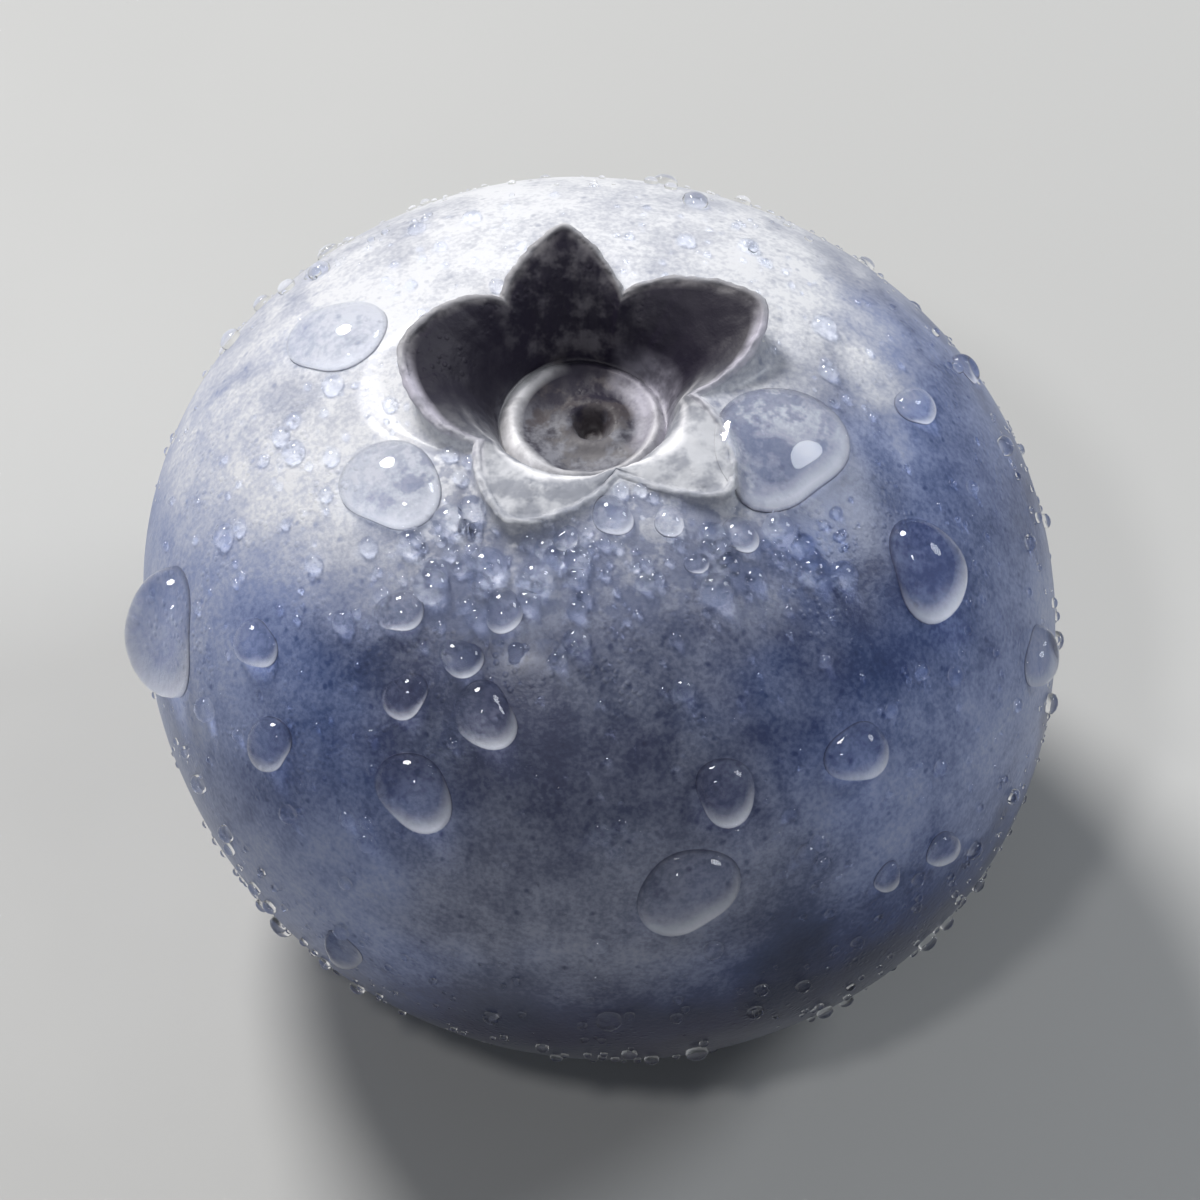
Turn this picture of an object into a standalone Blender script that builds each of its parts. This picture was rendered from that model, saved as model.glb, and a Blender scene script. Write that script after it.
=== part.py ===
"""A blueberry that stands on its stem end with its crown up.

It is one solid, in metres, +Z up. Its resting ring lies at z = 0 and its middle is over the origin.
A sphere's rings are moved onto the fruit's outline, which runs from the scar in the middle of the crown,
over the crown's five lobes and the round body, to the scar of the stalk underneath.
"""

import math

import bmesh
import bpy

MM = 0.001
SEGMENTS = 80

# Body, measured from its widest level
RADIUS = 9.0 * MM
UPPER_HALF = 7.5 * MM
LOWER_HALF = 7.8 * MM
FULLNESS = 2.2
LOPSIDED = 0.008
FIVE_SIDED = 0.006
BODY_LEAN = 0.28 * MM
BODY_RINGS = 18

# Crown
LOBES = 5
CROWN_TURN = math.radians(100)
NOTCH_TURN = math.radians(3)
BACK_LOBE_NARROWING = math.radians(9.5)
LOBE_TAPER = 0.88
LOBE_TAPER_SPREAD = 0.3
LOBE_BLUNTNESS = 0.1
LOBE_RADIUS = 3.48 * MM
LOBE_HEIGHT = 7.75 * MM
NOTCH_RADIUS = 2.0 * MM
NOTCH_HEIGHT = 7.38 * MM
NOTCH_LEAN = 0.3 * MM
RIDGE_RISE = 0.12 * MM
RIDGE_WIDTH = 0.15 * MM
LOBE_FOOT = 4.5 * MM
NOTCH_FOOT = 3.2 * MM
NECK_RADIUS = 3.05 * MM
FURROW = 0.1 * MM
FLAT_LOBE_RISE = 0.45 * MM
FREE_LOBE_RISE = 0.95 * MM
UNEVEN_HEIGHT = 0.5 * MM
UNEVEN_RADIUS = 0.25 * MM
LOBE_THICKNESS = 0.2 * MM
NOTCH_THICKNESS = 0.24 * MM
CROWN_SHIFT = 0.12 * MM
INSIDE_RINGS = 7
OUTSIDE_RINGS = 5

# Disc in the crown, with the scar that the flower's style left
DISC_HEIGHT = 6.15 * MM
DISC_RADIUS = 1.62 * MM
DISC_LEAN = 0.18 * MM
DISC_GROOVE = 0.06 * MM
DISC_RIM = 0.28 * MM
STYLE_SCAR_RADIUS = 0.55 * MM
STYLE_SCAR_RIM = 0.05 * MM
STYLE_SCAR_DEPTH = 0.35 * MM

# Stem end
REST_OUTER = 3.3 * MM
REST_INNER = 2.4 * MM
STEM_SCAR_RADIUS = 1.6 * MM
DIMPLE_DEPTH = 0.35 * MM
STEM_SCAR_DEPTH = 0.7 * MM

SKIN_COLOUR = (0.13, 0.16, 0.26, 1)
SKIN_ROUGHNESS = 0.5


def clear_scene():
    for thing in list(bpy.data.objects):
        bpy.data.objects.remove(thing, do_unlink=True)


def skin_material():
    material = bpy.data.materials.new("blueberry skin")
    material.use_nodes = True
    shader = material.node_tree.nodes["Principled BSDF"]
    shader.inputs["Base Color"].default_value = SKIN_COLOUR
    shader.inputs["Roughness"].default_value = SKIN_ROUGHNESS
    shader.inputs["Metallic"].default_value = 0
    material.diffuse_color = SKIN_COLOUR
    return material


def mix(start, end, share):
    return start + (end - start) * share


def superellipse(angle, half_height):
    """Radius and height of the body at an angle down from its top."""
    power = 2 / FULLNESS
    across = math.sin(angle) ** power
    up = math.copysign(abs(math.cos(angle)) ** power, math.cos(angle))
    return RADIUS * across, half_height * up


def body_angle(radius):
    """Angle down from the top at which the body has this radius."""
    return math.asin((radius / RADIUS) ** (FULLNESS / 2))


def lobe_azimuth(turn):
    """Direction of a turn round the crown. The lobe at turn 0 is the narrowest."""
    notch = 0.5 - 0.5 * math.cos(LOBES * turn)
    near_back = (0.5 + 0.5 * math.cos(turn)) ** 2
    narrowing = BACK_LOBE_NARROWING * math.sin(0.5 * LOBES * turn) * near_back
    return turn + CROWN_TURN + NOTCH_TURN * notch - narrowing


def body_radius(radius, angle, turn):
    """The body's radius made uneven: a lean to one side, an oval, and five sides under the crown's lobes."""
    azimuth = lobe_azimuth(turn)
    around = math.sin(angle) ** 2
    side = LOPSIDED * math.cos(azimuth - 0.5 + 0.9 * math.cos(angle))
    oval = 0.6 * LOPSIDED * math.cos(2 * azimuth + 1.1)
    lobed = FIVE_SIDED * math.cos(LOBES * turn) * math.cos(angle / 2) ** 2
    lean = -BODY_LEAN * math.sin(2 * angle) * math.cos(azimuth)
    return radius * (1 + around * (side + oval + lobed)) + lean


def lobe_point(turn):
    """0 in the notch between two lobes, 1 on a lobe's middle line. Some lobes are blunter than others."""
    part = turn * LOBES / math.tau
    from_middle = math.hypot(2 * abs(part - round(part)), LOBE_BLUNTNESS)
    taper = LOBE_TAPER - LOBE_TAPER_SPREAD * math.cos(turn - 0.5)
    return max(0, 1 + LOBE_BLUNTNESS - from_middle) ** taper


def left_side(turn):
    """1 on the crown's left side, -1 on its right side."""
    return -math.cos(turn + CROWN_TURN)


def bent_over(turn):
    """0 for the three lobes that stand, 1 for the front two, which lie flat from the crown's throat outwards."""
    share = min(1, max(0, (0.2 - math.cos(turn)) / 0.9))
    return share * share * (3 - 2 * share)


def throat(turn):
    """Radius of the crown's opening."""
    return NOTCH_RADIUS + NOTCH_LEAN * left_side(turn)


def disc_edge(turn):
    return DISC_RADIUS + DISC_LEAN * left_side(turn)


def disc_outline(turn):
    """The style's scar and the disc round it, from the middle outwards. The disc's rim is lowest at turn 0."""
    scar = STYLE_SCAR_RADIUS
    disc = disc_edge(turn)
    rim = DISC_RIM * (0.6 - 0.4 * math.cos(turn))
    floor = DISC_HEIGHT - STYLE_SCAR_DEPTH
    return [
        (scar * 0.4, floor),
        (scar * 0.7, DISC_HEIGHT),
        (scar, DISC_HEIGHT + STYLE_SCAR_RIM),
        (scar * 1.35, DISC_HEIGHT),
        (mix(scar, disc, 0.4), DISC_HEIGHT),
        (mix(scar, disc, 0.62), DISC_HEIGHT + 0.35 * rim),
        (mix(scar, disc, 0.8), DISC_HEIGHT + rim),
        (disc, DISC_HEIGHT - DISC_GROOVE),
    ]


def edge_point(turn, point):
    """Radius and height of the crown's edge: pointed lobes, no two alike, the one at turn 0 the tallest."""
    taller = math.cos(turn - 0.1)
    longer = -0.7 * math.cos(2 * turn) - 0.3 * math.cos(turn)
    radius = mix(throat(turn), LOBE_RADIUS + UNEVEN_RADIUS * longer, point)
    height = mix(NOTCH_HEIGHT, LOBE_HEIGHT + UNEVEN_HEIGHT * taller, point)
    return radius, height


def bezier(corners, share):
    """Point at a share of the way along a cubic Bezier curve."""
    rest = 1 - share
    weights = (rest ** 3, 3 * rest ** 2 * share, 3 * rest * share ** 2, share ** 3)
    return tuple(sum(w * corner[axis] for w, corner in zip(weights, corners)) for axis in (0, 1))


def crown_outline(turn):
    """The crown's wall: up its inside, over its edge and down into the body."""
    point = lobe_point(turn)
    radius, height = edge_point(turn, point)
    thickness = mix(NOTCH_THICKNESS, LOBE_THICKNESS, point)
    lip = height - 0.25 * thickness
    disc = disc_edge(turn)
    bent = bent_over(turn)
    ridge = throat(turn)
    ridge_height = NOTCH_HEIGHT + RIDGE_RISE * point
    inside = [
        (disc, DISC_HEIGHT - DISC_GROOVE),
        (mix(mix(disc, radius, 0.2), ridge, bent), mix(mix(DISC_HEIGHT, lip, 0.5), ridge_height, bent)),
        (
            mix(mix(disc, radius, 0.6), min(ridge + RIDGE_WIDTH, radius), bent),
            mix(mix(DISC_HEIGHT, lip, 0.85), ridge_height, bent),
        ),
        (radius, lip),
    ]
    rings = [bezier(inside, ring / INSIDE_RINGS) for ring in range(1, INSIDE_RINGS + 1)]
    rings.append((radius + 0.45 * thickness, height))
    rings.append((radius + thickness, height - 0.3 * thickness))

    outer = radius + thickness
    rise = height - body_height(outer)
    free = min(1, max(0, (rise - FLAT_LOBE_RISE) / (FREE_LOBE_RISE - FLAT_LOBE_RISE)))
    neck = mix(outer, NECK_RADIUS, free)
    foot = mix(NOTCH_FOOT, LOBE_FOOT, 0.5 + 0.5 * math.cos(LOBES * turn))
    heel = mix(neck, foot, 0.3)
    outside = [
        rings[-1],
        (neck, body_height(neck) + 0.15 * MM * free),
        (heel, body_height(heel) - FURROW),
        (foot, body_height(foot)),
    ]
    spread = body_radius(foot, body_angle(foot), turn) - foot
    for ring in range(1, OUTSIDE_RINGS):
        share = ring / OUTSIDE_RINGS
        across, up = bezier(outside, share)
        rings.append((across + spread * share ** 2, up))
    return rings, foot


def body_height(radius):
    """Height of the body's upper half at this radius."""
    return superellipse(body_angle(radius), UPPER_HALF)[1]


def body_outline(turn, foot):
    """The round body, from the crown's foot to the resting ring."""
    first = body_angle(foot)
    last = math.pi - body_angle(REST_OUTER)
    rings = []
    for ring in range(BODY_RINGS):
        share = ring / BODY_RINGS
        angle = mix(first, last, share)
        half_height = UPPER_HALF if angle < math.pi / 2 else LOWER_HALF
        radius, height = superellipse(angle, half_height)
        rings.append((body_radius(radius, angle, turn), height))
    return rings


def stem_outline():
    """The flat resting ring, the dimple in it and the scar of the stalk."""
    rest = rest_height()
    scar = STEM_SCAR_RADIUS
    return [
        (REST_OUTER, rest),
        (REST_INNER, rest),
        (mix(REST_INNER, scar, 0.5), rest + 0.35 * DIMPLE_DEPTH),
        (scar, rest + DIMPLE_DEPTH),
        (scar * 0.9, rest + STEM_SCAR_DEPTH),
        (scar * 0.35, rest + 0.8 * STEM_SCAR_DEPTH),
    ]


def rest_height():
    return superellipse(math.pi - body_angle(REST_OUTER), LOWER_HALF)[1]


def outline(turn):
    """Radius and height of every ring at one turn about the axis, and of the two poles."""
    wall, foot = crown_outline(turn)
    rings = disc_outline(turn) + wall + body_outline(turn, foot) + stem_outline()
    top = (0, DISC_HEIGHT - STYLE_SCAR_DEPTH)
    bottom = (0, rest_height() + 0.9 * STEM_SCAR_DEPTH)
    return [top] + rings + [bottom]


def crown_share(step):
    """1 for the rings of the disc and the crown, falling to 0 down the crown's outside."""
    foot_step = 1 + len(disc_outline(0)) + len(crown_outline(0)[0])
    return min(1, max(0, (foot_step - step) / OUTSIDE_RINGS))


def berry_mesh():
    steps = len(outline(0)) - 1
    shape = bmesh.new()
    bmesh.ops.create_uvsphere(shape, u_segments=SEGMENTS, v_segments=steps, radius=1)
    for vertex in shape.verts:
        step = round(math.acos(max(-1, min(1, vertex.co.z))) / math.pi * steps)
        turn = math.atan2(vertex.co.y, vertex.co.x)
        radius, height = outline(turn)[step]
        azimuth = lobe_azimuth(turn)
        vertex.co.x = radius * math.cos(azimuth) - CROWN_SHIFT * crown_share(step)
        vertex.co.y = radius * math.sin(azimuth)
        vertex.co.z = height - rest_height()
    bmesh.ops.recalc_face_normals(shape, faces=shape.faces)
    mesh = bpy.data.meshes.new("blueberry")
    shape.to_mesh(mesh)
    shape.free()
    mesh.shade_smooth()
    mesh.set_sharp_from_angle(angle=math.radians(45))
    return mesh


def build():
    clear_scene()
    parts = bpy.data.collections.new("blueberry")
    bpy.context.scene.collection.children.link(parts)
    berry = bpy.data.objects.new("blueberry", berry_mesh())
    berry.data.materials.append(skin_material())
    parts.objects.link(berry)


build()
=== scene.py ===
"""A wet, ripe blueberry in soft studio light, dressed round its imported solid.

The fine skin follows the same outline as the solid, and the water lies on the fine skin.
"""

import math
from dataclasses import dataclass

import bmesh
import bpy
import numpy as np
from mathutils import Matrix, Vector
from mathutils.bvhtree import BVHTree


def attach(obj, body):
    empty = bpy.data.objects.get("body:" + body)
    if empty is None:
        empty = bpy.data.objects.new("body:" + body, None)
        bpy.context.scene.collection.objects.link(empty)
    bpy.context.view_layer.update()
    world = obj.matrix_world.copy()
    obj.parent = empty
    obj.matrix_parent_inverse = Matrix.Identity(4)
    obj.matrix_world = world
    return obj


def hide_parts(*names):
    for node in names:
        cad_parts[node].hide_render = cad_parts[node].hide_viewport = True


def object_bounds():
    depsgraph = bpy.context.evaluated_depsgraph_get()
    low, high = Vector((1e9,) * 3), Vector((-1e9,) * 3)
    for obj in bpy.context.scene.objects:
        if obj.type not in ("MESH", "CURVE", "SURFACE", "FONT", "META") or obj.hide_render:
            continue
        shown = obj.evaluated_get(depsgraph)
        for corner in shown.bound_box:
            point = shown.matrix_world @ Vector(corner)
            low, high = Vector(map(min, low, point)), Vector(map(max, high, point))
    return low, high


bl_info = {
    "name": "Blueberry",
    "version": (1, 0, 0),
    "blender": (4, 5, 0),
    "location": "3D View > Sidebar > Blueberry",
    "description": "Builds a ripe blueberry with its bloom, its crown and the water on it",
    "category": "Object",
}

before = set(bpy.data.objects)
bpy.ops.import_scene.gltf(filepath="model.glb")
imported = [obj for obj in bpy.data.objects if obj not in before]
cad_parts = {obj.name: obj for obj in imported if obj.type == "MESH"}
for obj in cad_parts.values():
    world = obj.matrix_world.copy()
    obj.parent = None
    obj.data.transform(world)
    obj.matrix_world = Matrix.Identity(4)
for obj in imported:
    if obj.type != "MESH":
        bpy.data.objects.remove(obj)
CAD_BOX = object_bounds()

MM = 0.001
PER_SQUARE_MM = 1e6
SEGMENTS = 360

# Forms that the outline shares with the solid
FULLNESS = 2.2
LOPSIDED = 0.008
FIVE_SIDED = 0.006
BODY_LEAN = 0.28 * MM
LOBES = 5
CROWN_TURN = math.radians(100)
NOTCH_TURN = math.radians(3)
BACK_LOBE_NARROWING = math.radians(9.5)
LOBE_TAPER = 0.88
LOBE_TAPER_SPREAD = 0.3
LOBE_BLUNTNESS = 0.1
LOBE_FOOT = 4.5 * MM
NOTCH_FOOT = 3.2 * MM
NECK_RADIUS = 3.05 * MM
FLAT_LOBE_RISE = 0.45 * MM
FREE_LOBE_RISE = 0.95 * MM
UNEVEN_HEIGHT = 0.5 * MM
UNEVEN_RADIUS = 0.25 * MM
LOBE_THICKNESS = 0.2 * MM
NOTCH_THICKNESS = 0.24 * MM
EDGE_CREST = 0.45
CROWN_SHIFT = 0.12 * MM
NOTCH_LEAN = 0.3 * MM
DISC_LEAN = 0.18 * MM
FURROW = 0.1 * MM
RIDGE_RISE = 0.12 * MM
RIDGE_WIDTH = 0.15 * MM
RIDGE_PART = 0.55
DISC_GROOVE = 0.06 * MM
DISC_RIM = 0.28 * MM
STYLE_SCAR_RIM = 0.05 * MM
STYLE_SCAR_DEPTH = 0.35 * MM
REST_INNER = 2.4 * MM
DIMPLE_DEPTH = 0.35 * MM
STEM_SCAR_DEPTH = 0.7 * MM

# Rings of the fine skin, zone by zone
DISC_STEPS = 5
WALL_RINGS = 34
EDGE_RINGS = 8
OUTSIDE_RINGS = 22
BODY_RINGS = 112
COLLAR_RINGS = 14
STEM_STEPS = 5

# Camera, light and water
VIEW_ELEVATION = 53
LAMP_AZIMUTH = -146
LAMP_ELEVATION = 47
WATER_IOR = 1.333
DROP_CURVE = 0.5 / (9 * MM)
FILM_LIFT = 0.008 * MM
FILM_DEPTH = 0.03 * MM
# The wax thickens along this way, close to the lamp's way, so the lamp's side is painted lighter.
BLOOM_AND_LIGHT_WAY = (-0.21, 0.42, 0.90)
WATER_SHADE = (0.42, 0.45, 0.52)
FLOOR_RADIUS = 0.9

# Shape of a large drop
DROP_SEGMENTS = 40
DROP_RINGS = 20
FILM_RINGS = 16
DROP_OVAL = 0.12
DROP_THREE_SIDED = 0.06
DROP_LENGTHENING = 0.08
DROP_FULLNESS = 0.85
DROP_FOOT = 0.35
DROP_SAG = 0.22
DROP_SINK = 0.02

# Large drops as the camera sees them: across and up from the berry's middle, and width, in units of the
# berry's half width, then how high the drop stands for its width.
LARGE_DROPS = (
    (-0.56, 0.60, 0.22, 0.26),
    (-0.44, 0.28, 0.22, 0.26),
    (-0.24, -0.21, 0.14, 0.38),
    (-0.41, -0.17, 0.10, 0.40),
    (-0.29, -0.09, 0.09, 0.42),
    (-0.20, 0.01, 0.09, 0.42),
    (-0.42, 0.01, 0.10, 0.40),
    (-0.39, -0.37, 0.17, 0.36),
    (-0.70, -0.27, 0.12, 0.40),
    (-0.73, -0.06, 0.11, 0.40),
    (-0.93, -0.03, 0.26, 0.36),
    (0.70, 0.10, 0.21, 0.36),
    (0.55, -0.29, 0.14, 0.40),
    (0.27, -0.37, 0.14, 0.38),
    (0.19, -0.58, 0.21, 0.34),
    (0.74, -0.50, 0.09, 0.42),
    (0.62, -0.56, 0.07, 0.42),
    (0.95, -0.09, 0.13, 0.40),
    (0.68, 0.45, 0.10, 0.40),
    (0.80, 0.54, 0.07, 0.42),
    (0.385, 0.365, 0.31, 0.14),
    (0.30, 0.17, 0.08, 0.42),
    (0.15, 0.20, 0.07, 0.42),
    (0.03, 0.21, 0.09, 0.42),
    (-0.07, 0.16, 0.06, 0.42),
    (0.21, 0.11, 0.05, 0.42),
    (-0.55, -0.72, 0.10, 0.40),
)


def toward(azimuth, elevation):
    """Unit vector to a place round the berry. Azimuth 0 is the camera's side, 90 the right."""
    a, e = math.radians(azimuth), math.radians(elevation)
    return Vector((math.sin(a) * math.cos(e), -math.cos(a) * math.cos(e), math.sin(e)))


LAMP_WAY = toward(LAMP_AZIMUTH, LAMP_ELEVATION)


def new_object(name, data):
    made = bpy.data.objects.new(name, data)
    bpy.context.scene.collection.objects.link(made)
    return made


def number(name, description, default, **more):
    return bpy.props.FloatProperty(name=name, description=description, default=default, **more)


def length(name, description, default):
    return number(name, description, default, subtype="DISTANCE", unit="LENGTH", precision=5)


def share(name, description, default):
    return number(name, description, default, min=0, max=1, subtype="FACTOR")


def watts(name, description, default):
    return number(name, description, default, unit="POWER")


def colour(name, what, default):
    return bpy.props.FloatVectorProperty(
        name=name,
        description=f"Colour of {what}",
        default=default,
        size=3,
        min=0,
        max=1,
        subtype="COLOR",
    )


class BerrySettings(bpy.types.PropertyGroup):
    """Sizes and colours of the berry."""

    radius: length("Radius", "Half the berry's width", 9 * MM)
    upper_half: length("Upper half", "Height above the widest level, without the crown", 7.5 * MM)
    lower_half: length("Lower half", "Depth below the widest level, before the flat", 7.8 * MM)
    rest_radius: length("Rest radius", "Outer radius of the flat that it rests on", 3.3 * MM)
    lobe_radius: length("Lobe radius", "How far out the crown's lobes reach", 3.48 * MM)
    lobe_height: length("Lobe height", "Height of the lobes' tips above the widest level", 7.75 * MM)
    notch_radius: length("Notch radius", "Radius of the crown between two lobes", 2 * MM)
    notch_height: length("Notch height", "Height of the crown between two lobes", 7.38 * MM)
    disc_radius: length("Disc radius", "Radius of the disc in the crown", 1.62 * MM)
    disc_height: length("Disc height", "Height of the disc above the widest level", 6.15 * MM)
    style_scar: length("Style scar", "Radius of the scar in the disc's middle", 0.55 * MM)
    stem_scar: length("Stem scar", "Radius of the stalk's scar underneath", 1.6 * MM)
    skin_relief: length("Skin relief", "Height of the skin's shallow unevenness", 0.02 * MM)
    crown_relief: length("Crown relief", "Height of the wrinkles in the crown", 0.07 * MM)
    scar_relief: length("Scar relief", "Height of the torn fibres in the stalk's scar", 0.12 * MM)
    skin: colour("Skin", "the bare skin", (0.007, 0.010, 0.034))
    violet: colour("Violet skin", "the redder skin", (0.013, 0.009, 0.034))
    thin_bloom: colour("Thin bloom", "a thin film of wax in front", (0.100, 0.121, 0.210))
    blue_bloom: colour("Blue bloom", "a thin film of wax at the sides", (0.088, 0.142, 0.345))
    bloom: colour("Bloom", "thick wax on the skin", (0.63, 0.635, 0.665))
    flat_lobe: colour("Flat lobes", "the lobes that lie flat", (0.26, 0.27, 0.31))
    lobe_dust: colour("Lobe dust", "the dry film inside the crown", (0.085, 0.078, 0.092))
    lobe_inside: colour("Lobe inside", "the lobes' inner faces", (0.010, 0.007, 0.018))
    disc: colour("Disc", "the disc in the crown", (0.165, 0.165, 0.190))
    scar_edge: colour("Style scar tone", "the scar in the disc's middle", (0.055, 0.046, 0.050))
    # Painted light, not wax: the lit right side of the disc, and the front of the crown's dry edge.
    painted_light_disc: colour("Pale disc", "the disc's waxy side", (0.48, 0.46, 0.54))
    # Painted highlight along the disc's rim and the throat's ridge.
    rim: colour("Rims", "the disc's rim and the throat's ridge", (0.93, 0.92, 0.95))
    dry_edge: colour("Dry edge", "the dry edge of the crown", (0.20, 0.19, 0.20))
    stem: colour("Stem scar tone", "the stalk's scar", (0.36, 0.27, 0.17))
    fibre: colour("Scar fibres", "the dark fibres in the stalk's scar", (0.10, 0.06, 0.05))


class WaterSettings(bpy.types.PropertyGroup):
    """Sizes and numbers of the drops."""

    bead_density: number("Beads", "Beads of water for each square millimetre", 1.1, min=0)
    bead_width: length("Bead width", "Width of the widest bead", 0.55 * MM)
    dew_density: number("Dew", "Specks of dew for each square millimetre", 4.4, min=0)
    dew_width: length("Dew width", "Width of the widest speck of dew", 0.2 * MM)
    seed: bpy.props.IntProperty(name="Seed", description="Changes where the small drops lie", default=7)


class StudioSettings(bpy.types.PropertyGroup):
    """Floor, light and camera."""

    floor_colour: colour("Floor", "the floor", (0.44, 0.44, 0.435))
    key_power: watts("Key light", "Power of the main light", 0.78)
    fill_power: watts("Fill light", "Power of the weak light in front", 0.12)
    sparkle_power: watts("Sparkle", "Power of the small light that the drops mirror", 0.11)
    rim_power: watts("Rim light", "Power of the light behind the right side", 0.22)
    world_strength: share("World", "Strength of the even light from all round", 0.09)
    elevation: number(
        "Camera elevation",
        "How far the camera looks down",
        math.radians(VIEW_ELEVATION),
        subtype="ANGLE",
        unit="ROTATION",
    )
    lens: number("Lens", "Focal length", 350, unit="CAMERA")
    margin: share("Margin", "Share of the picture that stays free round the berry", 0.24)


# Outline


def mix(start, end, part):
    return start + (end - start) * part


def fade(value, full, gone):
    """1 on the full side and 0 on the gone side, with a straight slope in between."""
    return min(1, max(0, (gone - value) / (gone - full)))


def superellipse(berry, angle, half_height):
    """Radius and height of the body at an angle down from its top."""
    power = 2 / FULLNESS
    across = np.abs(np.sin(angle)) ** power
    up = np.sign(np.cos(angle)) * np.abs(np.cos(angle)) ** power
    return berry.radius * across, half_height * up


def body_angle(berry, radius):
    return np.arcsin((radius / berry.radius) ** (FULLNESS / 2))


def body_height(berry, radius):
    return superellipse(berry, body_angle(berry, radius), berry.upper_half)[1]


def rest_height(berry):
    angle = math.pi - body_angle(berry, berry.rest_radius)
    return float(superellipse(berry, angle, berry.lower_half)[1])


def lobe_azimuth(turn):
    """Direction of a turn round the crown. The lobe at turn 0 is the narrowest."""
    notch = 0.5 - 0.5 * np.cos(LOBES * turn)
    near_back = (0.5 + 0.5 * np.cos(turn)) ** 2
    narrowing = BACK_LOBE_NARROWING * np.sin(0.5 * LOBES * turn) * near_back
    return turn + CROWN_TURN + NOTCH_TURN * notch - narrowing


def body_radius(radius, angle, turn):
    """The body's radius made uneven: a lean to one side, an oval, and five sides under the lobes."""
    azimuth = lobe_azimuth(turn)
    around = np.sin(angle) ** 2
    side = LOPSIDED * np.cos(azimuth - 0.5 + 0.9 * np.cos(angle))
    oval = 0.6 * LOPSIDED * np.cos(2 * azimuth + 1.1)
    lobed = FIVE_SIDED * np.cos(LOBES * turn) * np.cos(angle / 2) ** 2
    lean = -BODY_LEAN * np.sin(2 * angle) * np.cos(azimuth)
    return radius * (1 + around * (side + oval + lobed)) + lean


def lobe_point(turn):
    """0 in the notch between two lobes, 1 on a lobe's middle line. Some lobes are blunter than others."""
    part = turn * LOBES / math.tau
    from_middle = np.hypot(2 * np.abs(part - np.round(part)), LOBE_BLUNTNESS)
    taper = LOBE_TAPER - LOBE_TAPER_SPREAD * np.cos(turn - 0.5)
    return np.maximum(0, 1 + LOBE_BLUNTNESS - from_middle) ** taper


def left_side(turn):
    """1 on the crown's left side, -1 on its right side."""
    return -np.cos(turn + CROWN_TURN)


def bent_over(turn):
    """0 for the three lobes that stand, 1 for the front two, which lie flat and point outwards."""
    part = np.clip((0.2 - np.cos(turn)) / 0.9, 0, 1)
    return part * part * (3 - 2 * part)


def throat(berry, turn):
    """Radius of the crown's opening."""
    return berry.notch_radius + NOTCH_LEAN * left_side(turn)


def edge_point(berry, turn, point):
    """Radius and height of the crown's edge."""
    taller = np.cos(turn - 0.1)
    longer = -0.7 * np.cos(2 * turn) - 0.3 * np.cos(turn)
    radius = mix(throat(berry, turn), berry.lobe_radius + UNEVEN_RADIUS * longer, point)
    height = mix(berry.notch_height, berry.lobe_height + UNEVEN_HEIGHT * taller, point)
    return radius, height


def bezier(corners, part):
    rest = 1 - part
    weights = (rest**3, 3 * rest**2 * part, 3 * rest * part**2, part**3)
    return tuple(sum(w * corner[axis] for w, corner in zip(weights, corners)) for axis in (0, 1))


def between(p, q, r, s, t):
    """A value between q and r, on a smooth curve through four values."""
    bend = (2 * p - 5 * q + 4 * r - s) * t**2 + (3 * q - p - 3 * r + s) * t**3
    return 0.5 * (2 * q + (r - p) * t + bend)


def smooth_through(points, steps):
    """Points along a smooth curve that passes through each given point."""
    ends = [points[0], *points, points[-1]]
    made = []
    for near in zip(ends, ends[1:], ends[2:], ends[3:]):
        for step in range(steps):
            made.append(tuple(between(*values, step / steps) for values in zip(*near)))
    return [*made, points[-1]]


def disc_edge(berry, turn):
    return berry.disc_radius + DISC_LEAN * left_side(turn)


def disc_outline(berry, turn):
    """The style's scar and the disc round it. The disc's rim is lowest at turn 0."""
    scar, disc, level = berry.style_scar, disc_edge(berry, turn), berry.disc_height
    rim = DISC_RIM * (0.6 - 0.4 * np.cos(turn))
    floor = level - STYLE_SCAR_DEPTH
    points = [
        (0, floor),
        (scar * 0.4, floor),
        (scar * 0.7, level),
        (scar, level + STYLE_SCAR_RIM),
        (scar * 1.35, level),
        (mix(scar, disc, 0.4), level),
        (mix(scar, disc, 0.62), level + 0.35 * rim),
        (mix(scar, disc, 0.8), level + rim),
        (disc, level - DISC_GROOVE),
    ]
    return smooth_through(points, DISC_STEPS)


def stem_outline(berry):
    """The flat resting ring, the dimple in it and the scar of the stalk."""
    rest, scar = rest_height(berry), berry.stem_scar
    flat = [(mix(berry.rest_radius, REST_INNER, part), rest) for part in (0, 0.33, 0.67)]
    points = [
        (REST_INNER, rest),
        (mix(REST_INNER, scar, 0.5), rest + 0.35 * DIMPLE_DEPTH),
        (scar, rest + DIMPLE_DEPTH),
        (scar * 0.9, rest + STEM_SCAR_DEPTH),
        (scar * 0.35, rest + 0.8 * STEM_SCAR_DEPTH),
        (0, rest + 0.9 * STEM_SCAR_DEPTH),
    ]
    return flat + smooth_through(points, STEM_STEPS)


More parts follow.
